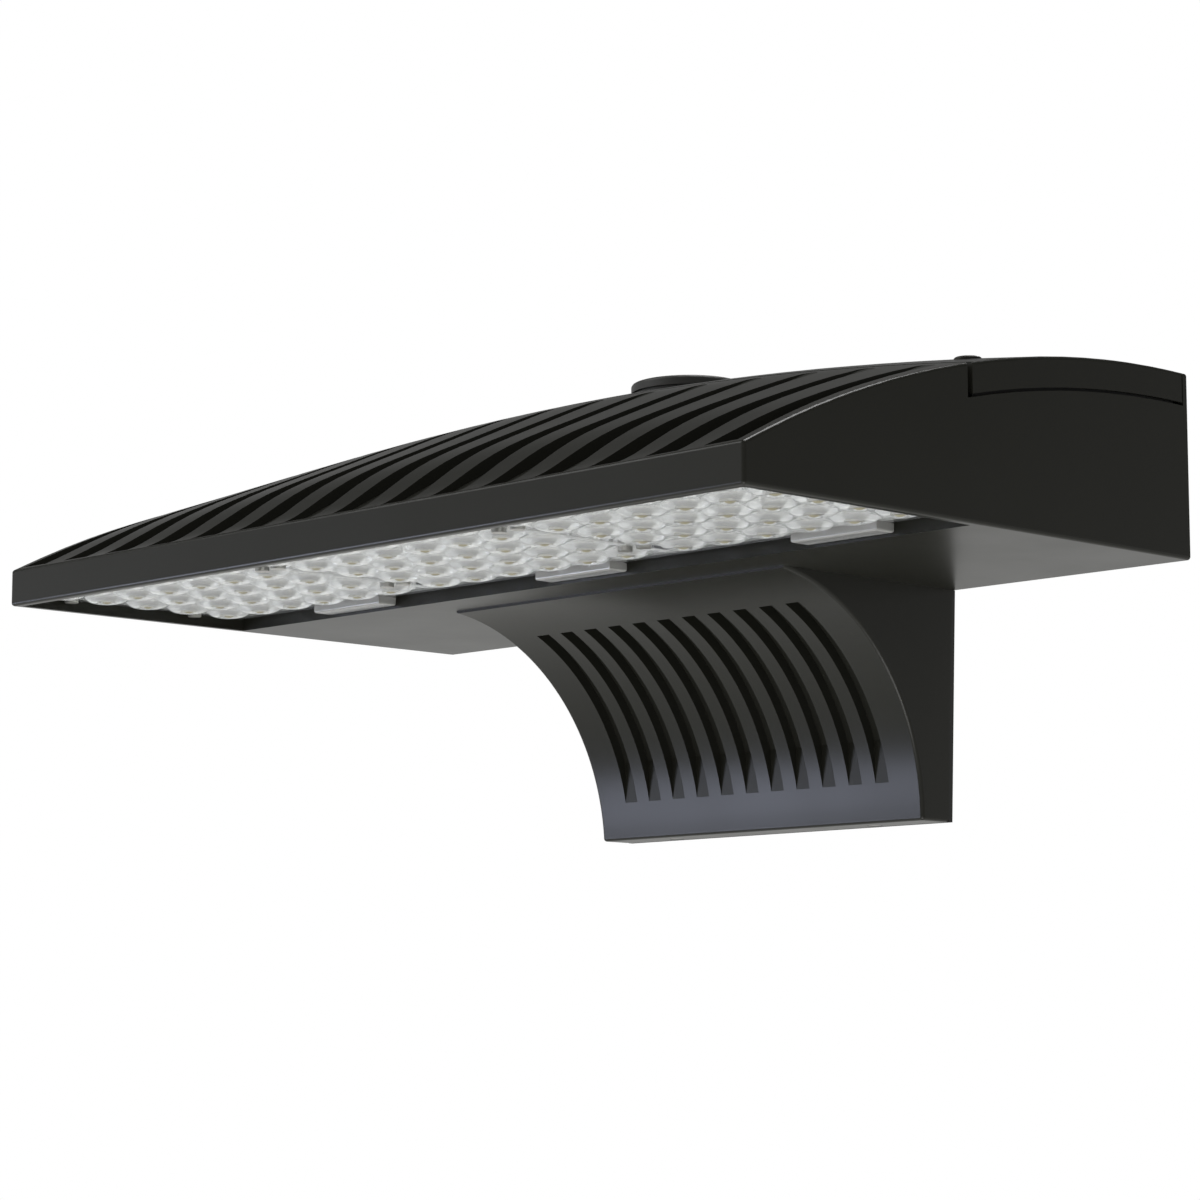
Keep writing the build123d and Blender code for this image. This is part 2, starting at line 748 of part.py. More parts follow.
def blade_ring(start, sweep, half_thickness, low, high):
    """Arc-shaped bars or slots, three about the photocontrol's axis."""
    inner, outer = blade_circle - half_thickness, blade_circle + half_thickness
    with BuildPart() as ring:
        for turn in (0, 120, 240):
            first, last = radians(start + turn), radians(start + turn + sweep)
            middle = (first + last) / 2
            with BuildSketch(Plane((0, y_at(control_depth), low))):
                with BuildLine():
                    ThreePointArc(*[(outer * cos(a), outer * sin(a)) for a in (first, middle, last)])
                    Line((outer * cos(last), outer * sin(last)), (inner * cos(last), inner * sin(last)))
                    ThreePointArc(*[(inner * cos(a), inner * sin(a)) for a in (last, middle, first)])
                    Line((inner * cos(first), inner * sin(first)), (outer * cos(first), outer * sin(first)))
                make_face()
            extrude(amount=high - low)
    return ring.part


blade_low = flange_top - blade_length
slot_margin = degrees(blade_fit / blade_circle)
slots = blade_ring(-slot_margin - cap_turn, blade_angle + cap_turn + 2 * slot_margin,
                   blade_thickness / 2 + blade_fit, blade_low - slot_bottom, flange_top + overlap)
with BuildPart() as photocontrol_receptacle:
    add(cylinder(0, control_depth, gasket_top, flange_top, flange_radius))
    add(cylinder(0, control_depth, pad_z - neck_length, gasket_top, neck_radius))
    add(slots, mode=Mode.SUBTRACT)
    for x in (-control_screw_circle, control_screw_circle):
        add(cylinder(x, control_depth, gasket_top, flange_top, small_screw + screw_fit), mode=Mode.SUBTRACT)
save(photocontrol_receptacle.part, "photocontrol_receptacle")

with BuildPart() as receptacle_screws:
    for x in (-control_screw_circle, control_screw_circle):
        add(pan_screw(x, control_depth, flange_top, small_screw_length, shank=small_screw,
                      head=low_screw_head, height=low_screw_head_height, down=-1))
save(receptacle_screws.part, "receptacle_screws")

cap_seat = flange_top + cap_gap
ring_top = cap_seat + seal_ring_height
blade_top = cap_seat + cap_gap
with BuildPart() as photocontrol_cap:
    add(cylinder(0, control_depth, cap_seat, cap_seat + cap_height, cap_radius))
    fillet(photocontrol_cap.edges().group_by(Axis.Z)[-1], cap_round)
    add(cylinder(0, control_depth, cap_seat, ring_top + cap_gap, seal_ring_outer + seal_fit), mode=Mode.SUBTRACT)
    add(cylinder(0, control_depth, blade_top, cap_seat + cap_height / 2, seal_ring_inner - seal_fit))
    with BuildSketch(Plane.XY.offset(cap_seat)):
        with Locations((0, y_at(control_depth))):
            Circle(control_screw_circle + screw_groove / 2)
            Circle(control_screw_circle - screw_groove / 2, mode=Mode.SUBTRACT)
    extrude(amount=screw_groove_depth, mode=Mode.SUBTRACT)
save(photocontrol_cap.part, "photocontrol_cap")

with BuildPart() as cap_seal:
    with BuildSketch(Plane.XY.offset(cap_seat)):
        with Locations((0, y_at(control_depth))):
            Circle(seal_ring_outer)
            Circle(seal_ring_inner, mode=Mode.SUBTRACT)
    extrude(amount=seal_ring_height)
save(cap_seal.part, "cap_seal")

save(blade_ring(0, blade_angle, blade_thickness / 2, blade_low, blade_top), "cap_blades")

with BuildPart() as receptacle_terminals:
    for turn in (0, 120, 240):
        angle = radians(turn + blade_angle / 2)
        place = (blade_circle * cos(angle), y_at(control_depth) + blade_circle * sin(angle),
                 pad_z - neck_length - tab_length / 2)
        with Locations(Location(place, (0, 0, turn + blade_angle / 2))):
            Box(tab_thickness, tab_width, tab_length)
save(receptacle_terminals.part, "receptacle_terminals")

# ---------------------------------------------------------------- driver bay


def ear_places(place, length, rows):
    """Screw places in the ears at both ends of a case on the tray."""
    x, depth = place
    return [(x + side * (length + case_ear) / 2, depth + row) for side in (-1, 1) for row in rows]


def eared_case(place, length, width, height, ear_width, rows):
    """Case on the tray, with a screw ear at each end."""
    x, depth = place
    with BuildPart() as case:
        with Locations((x, y_at(depth), tray_top + height / 2)):
            Box(length, width, height)
        fillet(case.edges().filter_by(Axis.Z), driver_round)
        with Locations((x, y_at(depth), tray_top + case_ear_thickness / 2)):
            Box(length + 2 * case_ear, ear_width, case_ear_thickness)
        for hole, row in ear_places(place, length, rows):
            add(cylinder(hole, row, tray_top, tray_top + case_ear_thickness, screw_shank + screw_fit),
                mode=Mode.SUBTRACT)
    return case.part


case_screw_places = (ear_places(driver_place, driver_length, driver_screw_rows)
                     + ear_places(surge_place, surge_length, (0.0,))
                     + ear_places(terminal_place, terminal_length, (0.0,)))

with BuildPart() as driver_tray:
    extrude(plan(tray_half, tray_front, tray_back, tray_level, tray_centre), amount=tray_flange)
    extrude(plan(tray_half - tray_sheet, tray_front + tray_sheet, tray_back - tray_sheet, tray_top, tray_centre),
            amount=tray_flange, mode=Mode.SUBTRACT)
    with BuildSketch(Plane.XY.offset(tray_level)):
        with Locations(*[(x, y_at(depth)) for x, depth in tray_screw_places + case_screw_places]):
            Circle(screw_shank + screw_fit)
    extrude(amount=tray_sheet, mode=Mode.SUBTRACT)
    extrude(plan(tray_notch / 2, wireway_depth - tray_notch / 2, tray_back, tray_level), amount=tray_flange,
            mode=Mode.SUBTRACT)
save(driver_tray.part, "driver_tray")

driver_ears = driver_width - 2 * driver_ear_inset
save(eared_case(driver_place, driver_length, driver_width, driver_height, driver_ears, driver_screw_rows), "driver")
save(eared_case(surge_place, surge_length, surge_width, surge_height, surge_ear_width, (0.0,)), "surge_protector")

with BuildPart() as terminal_block:
    add(eared_case(terminal_place, terminal_length, terminal_width, terminal_height, terminal_ear_width, (0.0,)))
    block_x, block_depth = terminal_place
    way_places = [(block_x + x, y_at(block_depth)) for x in spread(terminal_ways, terminal_way)]
    way_floor = tray_top + terminal_height - way_depth
    with BuildSketch(Plane.XY.offset(way_floor)):
        with Locations(*way_places):
            Rectangle(terminal_way - way_wall, terminal_width - 2 * way_end)
    extrude(amount=way_depth, mode=Mode.SUBTRACT)
save(terminal_block.part, "terminal_block")

with BuildPart() as terminal_screws:
    for x in spread(terminal_ways, terminal_way):
        add(cylinder(block_x + x, block_depth, way_floor, way_floor + terminal_screw_height, terminal_screw))
        with Locations((block_x + x, y_at(block_depth), way_floor + terminal_screw_height)):
            Box(terminal_way, terminal_screw_slot, 2 * terminal_slot_depth, mode=Mode.SUBTRACT)
save(terminal_screws.part, "terminal_screws")

with BuildPart() as tray_screws:
    for x, depth in tray_screw_places:
        add(pan_screw(x, depth, tray_top, case_screw_length, down=-1))
save(tray_screws.part, "tray_screws")

with BuildPart() as case_screws:
    for x, depth in case_screw_places:
        add(pan_screw(x, depth, tray_top + case_ear_thickness, case_screw_length, down=-1))
save(case_screws.part, "case_screws")

save(pan_screw(*ground_place, bay_floor + ground_boss_height, ground_screw_length, down=-1), "ground_screw")

# ---------------------------------------------------------------- wall bracket


def cove_point(radius, angle):
    """Point about the cove's centre, seen along the wall; the angle is from straight above."""
    return (y_at(cove_centre + radius * sin(radians(angle))), cove_z + radius * cos(radians(angle)))


def bracket_outline(depth, inset, high, low):
    """Front view of the bracket between two levels, drawn in at its sides."""
    slope = (bracket_half_top - bracket_half_bottom) / bracket_height
    corners = [(side * (bracket_half_bottom + slope * (level + underside) - inset), level)
               for side, level in ((-1, low), (1, low), (1, high), (-1, high))]
    with BuildSketch(across(depth)) as outline:
        Polygon(*corners, align=None)
    return outline.sketch


def cowl_form(wall, inset, high, low, back):
    """Space between the cove and the wall, drawn in by the cowl's walls."""
    radius = cove_radius + wall
    first, last = [degrees(acos((level - cove_z) / radius)) for level in (high - cove_tip, low)]
    start, middle, foot = [cove_point(radius, angle) for angle in (first, (first + last) / 2, last)]
    with BuildPart() as form:
        extrude(bracket_outline(0, inset, underside, -underside), amount=-(reach + overlap))
        with BuildSketch(Plane.YZ):
            with BuildLine():
                ThreePointArc(start, middle, foot)
                Polyline(foot, (back, low), (back, high), (start[0], high), start)
            make_face()
        extrude(amount=bracket_half_top + overlap, both=True, mode=Mode.INTERSECT)
    return form.part


ramp_top = cove_point(cove_radius + rib_groove_depth, groove_ramp_angle)
ramp_foot = cove_point(cove_radius, groove_foot_angle)
ramp_end = tuple(foot + (foot - top) / rib_groove_depth for top, foot in zip(ramp_top, ramp_foot))
groove_middle = (groove_top_angle + groove_ramp_angle) / 2
groove_top = cove_point(cove_radius - groove_overcut / 2, groove_top_angle)

with BuildPart() as wall_holes:
    with BuildSketch(across(plate_front)):
        with Locations(*[(side * wall_bolt_span_x / 2, end * wall_bolt_span_z / 2)
                         for side in (-1, 1) for end in (-1, 1)]):
            Circle(wall_bolt_hole)
        Circle(supply_bore)
    extrude(amount=-(reach - plate_front))

with BuildPart() as wall_bracket:
    add(cowl_form(0.0, 0.0, underside, -underside, y_at(cowl_back)))
    tip_face, *_, rear_face = wall_bracket.faces().sort_by(Axis.Y)
    upper_face = wall_bracket.faces().sort_by(Axis.Z)[-1]
    fillet(wall_bracket.edges() - tip_face.edges() - rear_face.edges() - upper_face.edges(), edge_round)
    add(cowl_form(cowl_wall, cowl_side, cowl_ceiling, cowl_ground, overlap), mode=Mode.SUBTRACT)
    for x in spread(rib_grooves, rib_pitch):
        with BuildSketch(Plane.YZ.offset(x)):
            with BuildLine():
                ThreePointArc(*[cove_point(cove_radius + rib_groove_depth, angle)
                                for angle in (groove_top_angle + groove_lead, groove_middle, groove_ramp_angle)])
                Line(ramp_top, ramp_end)
                ThreePointArc(ramp_end, cove_point(cove_radius - groove_overcut, groove_middle), groove_top)
                Line(groove_top, cove_point(cove_radius + rib_groove_depth, groove_top_angle + groove_lead))
            make_face()
        extrude(amount=rib_groove_width / 2, both=True, mode=Mode.SUBTRACT)
    for side in (-1, 1):
        with Locations((side * hook_span / 2, rail_y, cowl_ceiling - rail_drop / 2)):
            Box(rail_width, rail_thickness, rail_drop)
    for x, depth in cowl_bolt_places:
        add(cylinder(x, depth, cowl_ceiling, underside, cowl_bolt + screw_fit), mode=Mode.SUBTRACT)
    add(cylinder(0, wireway_depth, cowl_ceiling, underside, wireway_radius), mode=Mode.SUBTRACT)
    for x, depth in lug_screw_places:
        add(cylinder(x, depth, -underside, cowl_ground, screw_shank + screw_fit), mode=Mode.SUBTRACT)
        add(cylinder(x, depth, -underside, cowl_ground - bracket_screw_sink, screw_head + counterbore_fit),
            mode=Mode.SUBTRACT)
save(wall_bracket.part, "wall_bracket")

with BuildPart() as wall_plate:
    extrude(bracket_outline(plate_front, cowl_side + plate_clearance, cowl_ceiling - plate_clearance,
                            cowl_ground + plate_clearance), amount=-wall_plate_thickness)
    add(wall_holes.part, mode=Mode.SUBTRACT)
save(wall_plate.part, "wall_plate")

with BuildPart() as plate_hooks:
    lip_front = lip_y - rail_thickness / 2
    hook_run = y_at(plate_front) - lip_front
    for side in (-1, 1):
        with Locations((side * hook_span / 2, lip_front + hook_run / 2, hook_level - rail_thickness / 2)):
            Box(hook_width, hook_run, rail_thickness)
        with Locations((side * hook_span / 2, lip_y, hook_level + (hook_lip - rail_thickness) / 2)):
            Box(hook_width, rail_thickness, hook_lip + rail_thickness)
save(plate_hooks.part, "plate_hooks")

with BuildPart() as plate_lugs:
    for x, depth in lug_screw_places:
        with Locations((x, y_at(depth), cowl_ground + rail_thickness / 2)):
            Box(lug_width, lug_length, rail_thickness)
        add(cylinder(x, depth, cowl_ground, cowl_ground + rail_thickness, screw_shank + screw_fit),
            mode=Mode.SUBTRACT)
save(plate_lugs.part, "plate_lugs")

with BuildPart() as wall_gasket:
    extrude(bracket_outline(cowl_back, 0.0, underside, -underside), amount=-wall_gasket_thickness)
    add(wall_holes.part, mode=Mode.SUBTRACT)
save(wall_gasket.part, "wall_gasket")

with BuildPart() as cowl_bolts:
    for x, depth in cowl_bolt_places:
        seat = cowl_ceiling - washer_thickness
        with BuildSketch(Plane.XY.offset(seat - cowl_bolt_head_height)):
            with Locations((x, y_at(depth))):
                RegularPolygon(cowl_bolt_head, 6)
        extrude(amount=cowl_bolt_head_height)
        add(cylinder(x, depth, seat, underside + cowl_bolt_end, cowl_bolt))
save(cowl_bolts.part, "cowl_bolts")

with BuildPart() as cowl_washers:
    for x, depth in cowl_bolt_places:
        with BuildSketch(Plane.XY.offset(cowl_ceiling - washer_thickness)):
            with Locations((x, y_at(depth))):
                Circle(washer_radius)
                Circle(cowl_bolt + screw_fit, mode=Mode.SUBTRACT)
        extrude(amount=washer_thickness)
save(cowl_washers.part, "cowl_washers")

with BuildPart() as bracket_screws:
    for x, depth in lug_screw_places:
        add(pan_screw(x, depth, cowl_ground - bracket_screw_sink, bracket_screw_sink + rail_thickness + overlap))
save(bracket_screws.part, "bracket_screws")

with BuildPart() as wire_grommet:
    low, high = cowl_ceiling, bay_floor
    add(cylinder(0, wireway_depth, low - grommet_lip, high + grommet_lip, wireway_radius))
    for level in (low - grommet_lip, high):
        add(cylinder(0, wireway_depth, level, level + grommet_lip, wireway_radius + grommet_flange))
    add(cylinder(0, wireway_depth, low - grommet_lip, high + grommet_lip, wireway_radius - grommet_wall),
        mode=Mode.SUBTRACT)
save(wire_grommet.part, "wire_grommet")
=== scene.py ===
"""Finishes of a wall pack light: a finned, powder coated head on a ribbed wall bracket, with moulded lens plates below.

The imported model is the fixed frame. Its pieces keep their solids and get the materials of the real ones, apart from
four. The three lens plates are moulded here, with the rounded lenses that their solids only block out, and the wall
bracket keeps its form with smoother ribs. Lengths are metres, in the frame's own axes: +X along the wall, +Y into the
wall, +Z up.
"""

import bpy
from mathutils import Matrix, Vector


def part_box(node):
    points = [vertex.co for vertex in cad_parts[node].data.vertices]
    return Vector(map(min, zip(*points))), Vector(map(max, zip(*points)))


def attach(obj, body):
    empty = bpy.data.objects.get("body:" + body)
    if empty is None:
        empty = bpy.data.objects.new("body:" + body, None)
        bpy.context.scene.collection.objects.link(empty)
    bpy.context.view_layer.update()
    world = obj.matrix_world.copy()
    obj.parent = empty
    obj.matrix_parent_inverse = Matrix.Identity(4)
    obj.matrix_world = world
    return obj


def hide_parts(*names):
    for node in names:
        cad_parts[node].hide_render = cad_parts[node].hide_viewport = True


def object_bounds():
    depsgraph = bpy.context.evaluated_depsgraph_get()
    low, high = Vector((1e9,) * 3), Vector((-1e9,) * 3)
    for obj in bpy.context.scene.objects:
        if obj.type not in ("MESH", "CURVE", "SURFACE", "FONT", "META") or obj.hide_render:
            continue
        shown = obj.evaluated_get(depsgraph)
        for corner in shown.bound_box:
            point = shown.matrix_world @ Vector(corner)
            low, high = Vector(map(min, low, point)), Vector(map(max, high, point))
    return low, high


bl_info = {
    "name": "Wall Pack Light",
    "version": (1, 0, 0),
    "blender": (4, 5, 0),
    "location": "3D View > Sidebar > Wall Pack",
    "description": "Dresses the solids of a wall pack light and sets up its studio",
    "category": "Object",
}

from math import exp, radians

import bmesh
import bpy
from bpy.props import FloatProperty, FloatVectorProperty, IntProperty, PointerProperty
from mathutils import Euler, Matrix, Vector

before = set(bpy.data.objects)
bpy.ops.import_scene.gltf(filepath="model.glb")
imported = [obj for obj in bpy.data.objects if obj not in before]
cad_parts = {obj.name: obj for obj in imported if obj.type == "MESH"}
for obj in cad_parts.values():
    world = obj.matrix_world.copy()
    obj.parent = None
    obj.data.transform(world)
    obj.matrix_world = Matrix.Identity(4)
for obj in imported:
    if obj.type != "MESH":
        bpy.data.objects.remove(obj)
CAD_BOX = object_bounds()
MM = 0.001
SIDES = ("left", "centre", "right")

# Powder coat, where it is dusty against where it is clean.
CLEAN_ROUGHNESS, DUSTY_ROUGHNESS = -0.04, 0.05  # change of the coat's roughness
DUSTY_TONE = 1.12  # share of the coat's brightness

DARK_CRYSTAL = 0.8  # share of the zinc's brightness in the darkest crystals of galvanised sheet

# Wall bracket: how its ribs are told from its other faces.
RIB_TRIANGLES = 20  # a rib has at least so many
RIB_FRONT = -0.2  # Y of a normal that faces forward
RIB_SLANT = 0.8  # X of a normal that faces sideways
RIB_SKEW = 0.02  # X of a normal on a rib that is split askew
PLACE_DIGITS = 5  # places are told apart to 0.01 mm

# Lenses and LEDs.
LENS_SQUARENESS = 2.5  # exponent of its outline, 2 being an ellipse
LENS_BLUNTNESS = 0.6  # exponent of its rise, 0.5 being a round crown
DIMPLE_DEPTH = 0.55  # share of the lens's height
DIMPLE_REACH = 0.09  # how far it spreads from the middle
LENS_STEPS = 14  # grid lines across a lens, less one
FLAT_ENOUGH = 0.3  # Z of a normal on a face that is shaded smooth
DOME_CROWN = 0.12  # share of the lens's height between the two crowns
DOME_DEPTH = 1.0 * MM  # from the plate's face to the dome's foot
DOME_SEGMENTS = 20
DOME_RINGS = 12

# Stage. Each softbox has a setting of its name for its power, then its place, what it faces, and its width.
SOFTBOXES = {
    "key": ((-1.3, -1.7, 1.7), (0, -0.15, 0.1), 1.4),
    "top": ((0.3, 0.3, 2.4), (0, -0.15, 0.1), 1.5),
    "fill": ((-1.02, -1.12, -0.3), (0, -0.05, -0.03), 0.5),
    "bounce": ((0.7, -1.0, -1.3), (0, -0.2, 0.06), 1.2),
}
FLOOR_HALF = 9.0
FLOOR_WHITE = 0.88  # share of white that the camera sees in the floor
GLOSS_UP = (0.15, 0.0, 0.99)  # the way that reflections get dimmer
GLOSS_WHITE, GLOSS_DIM = 0.02, 0.34  # heights along it where they start and end to dim
CAMERA_PLACE = (1.3072, -1.4098, -0.1920)
CAMERA_TILT, CAMERA_HEADING = 97.745, 45.913  # degrees
CAMERA_SENSOR = 36.0  # millimetres


# ---------------------------------------------------------------- colours, nodes and meshes


def linear(hex_colour):
    """Linear RGB of an sRGB colour written as #rrggbb."""
    channels = [int(hex_colour[i : i + 2], 16) / 255 for i in (1, 3, 5)]
    return tuple(c / 12.92 if c <= 0.04045 else ((c + 0.055) / 1.055) ** 2.4 for c in channels)


def per_metre(millimetres):
    """Texture scale that repeats a pattern every so many millimetres."""
    return 1000 / millimetres


def add_node(tree, kind, settings=None, values=None, links=None):
    """Adds a node, sets its properties and socket values, and links the given outputs to its sockets."""
    node = tree.nodes.new(kind)
    for name, value in (settings or {}).items():
        setattr(node, name, value)
    for socket, value in (values or {}).items():
        node.inputs[socket].default_value = value
    for socket, source in (links or {}).items():
        tree.links.new(source, node.inputs[socket])
    return node


def new_material(name, **sockets):
    """A material with one Principled shader whose sockets are set, with its node tree and the shader."""
    material = bpy.data.materials.new(name)
    material.use_nodes = True
    tree = material.node_tree
    shader = tree.nodes["Principled BSDF"]
    for socket, value in sockets.items():
        shader.inputs[socket.replace("_", " ")].default_value = value
    return material, tree, shader


def object_place(tree):
    """The object's own coordinates, so that a texture moves along with its piece."""
    return add_node(tree, "ShaderNodeTexCoord").outputs["Object"]


def ripple(tree, shader, place, width, strength, height, detail=2.0):
    """Uneven surface: noise of a width in millimetres, as a bump of a height in metres."""
    noise = add_node(
        tree, "ShaderNodeTexNoise", values={"Scale": per_metre(width), "Detail": detail}, links={"Vector": place}
    )
    bump = add_node(
        tree,
        "ShaderNodeBump",
        values={"Strength": strength, "Distance": height},
        links={"Height": noise.outputs["Fac"]},
    )
    tree.links.new(bump.outputs["Normal"], shader.inputs["Normal"])


def new_object(name, data):
    """An object with a mesh, lamp or camera, linked to the scene."""
    thing = bpy.data.objects.new(name, data)
    bpy.context.scene.collection.objects.link(thing)
    return thing


def dress(material, *names):
    """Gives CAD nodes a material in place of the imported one."""
    for name in names:
        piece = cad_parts[name]
        piece.data.materials.clear()
        piece.data.materials.append(material)


def rgba(colour):
    """The colour with full alpha, as colour sockets take it."""
    return (*colour, 1.0)


def colour_property(name, description, hex_colour):
    """A colour setting with a default written as #rrggbb."""
    return FloatVectorProperty(
        name=name, description=description, subtype="COLOR", size=3, min=0.0, max=1.0, default=linear(hex_colour)
    )


# ---------------------------------------------------------------- settings


class CastingSettings(bpy.types.PropertyGroup):
    """Powder coat of the castings"""

    coat: colour_property("Coat", "Colour of the powder coat on the castings", "#191915")
    roughness: FloatProperty(
        name="Roughness", description="Roughness of the cured coat", min=0.0, max=1.0, default=0.3, subtype="FACTOR"
    )
    peel: FloatProperty(
        name="Orange peel", description="Width of one ripple of the coat, in millimetres", min=0.2, default=1.6
    )


class OpticSettings(bpy.types.PropertyGroup):
    """Lens plates, LED boards and LEDs"""

    tint: colour_property("Tint", "Colour of the moulded lens plates", "#f6f8f8")
    cover: colour_property("Cover", "Connector covers", "#bdbdb9")
    board: colour_property("Board", "Solder mask of the LED boards", "#f1f1ec")
    phosphor: colour_property("Phosphor", "Phosphor of the LEDs", "#a8924a")
    columns: IntProperty(name="Columns", description="Lenses across each plate", min=1, default=6)
    rows: IntProperty(name="Rows", description="Lenses from the front to the back of each plate", min=1, default=5)
    pitch: FloatProperty(
        name="Pitch", description="Distance between lenses", unit="LENGTH", min=0.005, default=28.6 * MM
    )
    first_row: FloatProperty(
        name="First row", description="From a plate's front edge to its first row", unit="LENGTH", default=13.1 * MM
    )
    lens_width: FloatProperty(
        name="Lens width", description="Width of one lens along the row", unit="LENGTH", default=24.0 * MM
    )
    lens_length: FloatProperty(
        name="Lens length", description="Length of one lens across the row", unit="LENGTH", default=21.5 * MM
    )
    lens_height: FloatProperty(
        name="Lens height", description="How far a lens stands out of its plate", unit="LENGTH", default=3.4 * MM
    )
    dome: colour_property("LED dome", "Silicone dome of each LED", "#7d7862")
    dome_width: FloatProperty(
        name="LED dome width", description="Width of the dome on each LED", unit="LENGTH", default=9.0 * MM
    )


class MetalSettings(bpy.types.PropertyGroup):
    """Colours of the bare, plated and passivated metals"""

    stainless: colour_property("Stainless", "Screws, clips and hinge pins", "#b4b3ae")
    black: colour_property("Black passivation", "Quarter-turn studs of the lid", "#2c2b28")
    zinc: colour_property("Zinc", "Galvanised sheet and plated bolts", "#a9adae")
    brass: colour_property("Brass", "Photocontrol blades and terminals", "#c2a45c")
    green: colour_property("Ground green", "Passivation of the ground screw", "#3f7a4a")


class PlasticSettings(bpy.types.PropertyGroup):
    """Colours of the plastics, the rubber and the cases in the bay"""

    control: colour_property("Photocontrol", "Cap and receptacle", "#23231f")
    rubber: colour_property("Rubber", "Gaskets, seals and grommet", "#1f1f1e")
    driver: colour_property("Driver", "Coated case of the driver", "#c9cac6")
    surge: colour_property("Surge protector", "Potted case of the surge protector", "#262629")
    terminal: colour_property("Terminal block", "Moulding of the terminal block", "#cfc8b4")


class StageSettings(bpy.types.PropertyGroup):
    """Floor, light and lens of the studio"""

    floor: colour_property("Floor", "Colour of the studio floor", "#f2f2f0")
    drop: FloatProperty(
        name="Floor drop", description="Floor below the bracket's foot", unit="LENGTH", min=0.0, default=1.6
    )
    ambient: FloatProperty(name="Ambient", description="Strength of the soft light all round", min=0.0, default=0.66)
    ceiling: FloatProperty(name="Ceiling", description="Brightness that gloss sees overhead", min=0.0, default=0.12)
    key: FloatProperty(name="Key", description="Power of the main softbox, in watts", min=0.0, default=22.0)
    top: FloatProperty(name="Top", description="Power of the softbox overhead, in watts", min=0.0, default=60.0)
    fill: FloatProperty(name="Fill", description="Power of the low softbox, in watts", min=0.0, default=7.5)
    cool: colour_property("Cool", "Colour of the low softbox", "#dfe6ff")
    bounce: FloatProperty(name="Bounce", description="Power of the softbox below, in watts", min=0.0, default=20.0)
    lens: FloatProperty(name="Lens", description="Focal length in millimetres", min=10.0, default=103.5)


# ---------------------------------------------------------------- finishes of the castings


def powder_coated_aluminium(look):
    """Polyester powder coat, sprayed and baked on die-cast aluminium: a satin skin with a faint orange peel."""
    material, tree, shader = new_material("powder_coated_aluminium", IOR=1.5, Specular_IOR_Level=0.21)
    place = object_place(tree)
    # Dust and handling leave the coat a little duller and paler in cloudy patches about 70 mm wide.
    cloud = add_node(
        tree, "ShaderNodeTexNoise", values={"Scale": per_metre(70), "Detail": 3.0}, links={"Vector": place}
    )
    roughness = add_node(
        tree,
        "ShaderNodeMapRange",
        values={"To Min": look.roughness + CLEAN_ROUGHNESS, "To Max": look.roughness + DUSTY_ROUGHNESS},
        links={"Value": cloud.outputs["Fac"]},
    )
    tree.links.new(roughness.outputs["Result"], shader.inputs["Roughness"])
    shade = add_node(
        tree,
        "ShaderNodeMix",
        settings={"data_type": "RGBA"},
        values={"A": rgba(look.coat), "B": rgba([c * DUSTY_TONE for c in look.coat])},
        links={"Factor": cloud.outputs["Fac"]},
    )
    tree.links.new(shade.outputs["Result"], shader.inputs["Base Color"])
    # The cured powder flows into shallow ripples, which break up the edge of each highlight.
    ripple(tree, shader, place, width=look.peel, strength=0.25, height=0.06 * MM, detail=1.0)
    return material


def across(vertex):
    """Place of a vertex along the wall, rounded so that places can be told apart."""
    return round(vertex.co.x, PLACE_DIGITS)


def zip_strip(form, left, right):
    """Fills the strip between two upright rows of vertices with triangles, always taking the lower next vertex."""
    i = j = 0
    while i + 1 < len(left) or j + 1 < len(right):
        a, b = left[i], right[j]
        if j + 1 == len(right) or (i + 1 < len(left) and left[i + 1].co.z <= right[j + 1].co.z):
            i += 1
            form.faces.new((a, b, left[i]))
        else:
            j += 1
            form.faces.new((a, b, right[j]))


def split_ribs_anew(form):
    """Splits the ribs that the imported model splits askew, which shows as kinks, straight across."""
    bands = {}
    for face in form.faces:
        sides = {across(vertex) for vertex in face.verts}
        if len(sides) == 2 and face.normal.y < RIB_FRONT and abs(face.normal.x) < RIB_SLANT:
            bands.setdefault((min(sides), max(sides)), []).append(face)
    for sides, faces in bands.items():
        corners = {vertex for face in faces for vertex in face.verts}
        skewed = max(abs(face.normal.x) for face in faces) > RIB_SKEW
        one_strip = len(faces) == len(corners) - 2
        if len(faces) < RIB_TRIANGLES or not one_strip or not skewed:
            continue
        for face in faces:
            form.faces.remove(face)
        rows = [sorted((v for v in corners if across(v) == side), key=lambda v: (v.co.z, v.co.y)) for side in sides]
        zip_strip(form, *rows)
    for edge in [edge for edge in form.edges if edge.is_wire]:
        form.edges.remove(edge)


def ribbed_bracket(material):
    """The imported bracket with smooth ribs. Its seams stay, and its normals are worked out again."""
    form = bmesh.new()
    form.from_mesh(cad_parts["wall_bracket"].data)
    split_ribs_anew(form)
    mesh = bpy.data.meshes.new("ribbed_bracket")
    form.to_mesh(mesh)
    form.free()
    if "custom_normal" in mesh.attributes:
        mesh.attributes.remove(mesh.attributes["custom_normal"])
    mesh.shade_smooth()
    mesh.materials.clear()
    mesh.materials.append(material)
    bracket = new_object("ribbed_bracket", mesh)
    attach(bracket, "head")
    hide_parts("wall_bracket")


class WALLPACK_OT_coat_castings(bpy.types.Operator):
    """Powder coats the housing, the lid and the wall bracket, whose ribs are split anew"""

    bl_idname = "wall_pack.coat_castings"
    bl_label = "Coat the castings"

    def execute(self, context):
        material = powder_coated_aluminium(context.scene.wall_pack_castings)
        dress(material, "housing", "top_lid")
        ribbed_bracket(material)
        return {"FINISHED"}


# ---------------------------------------------------------------- optics


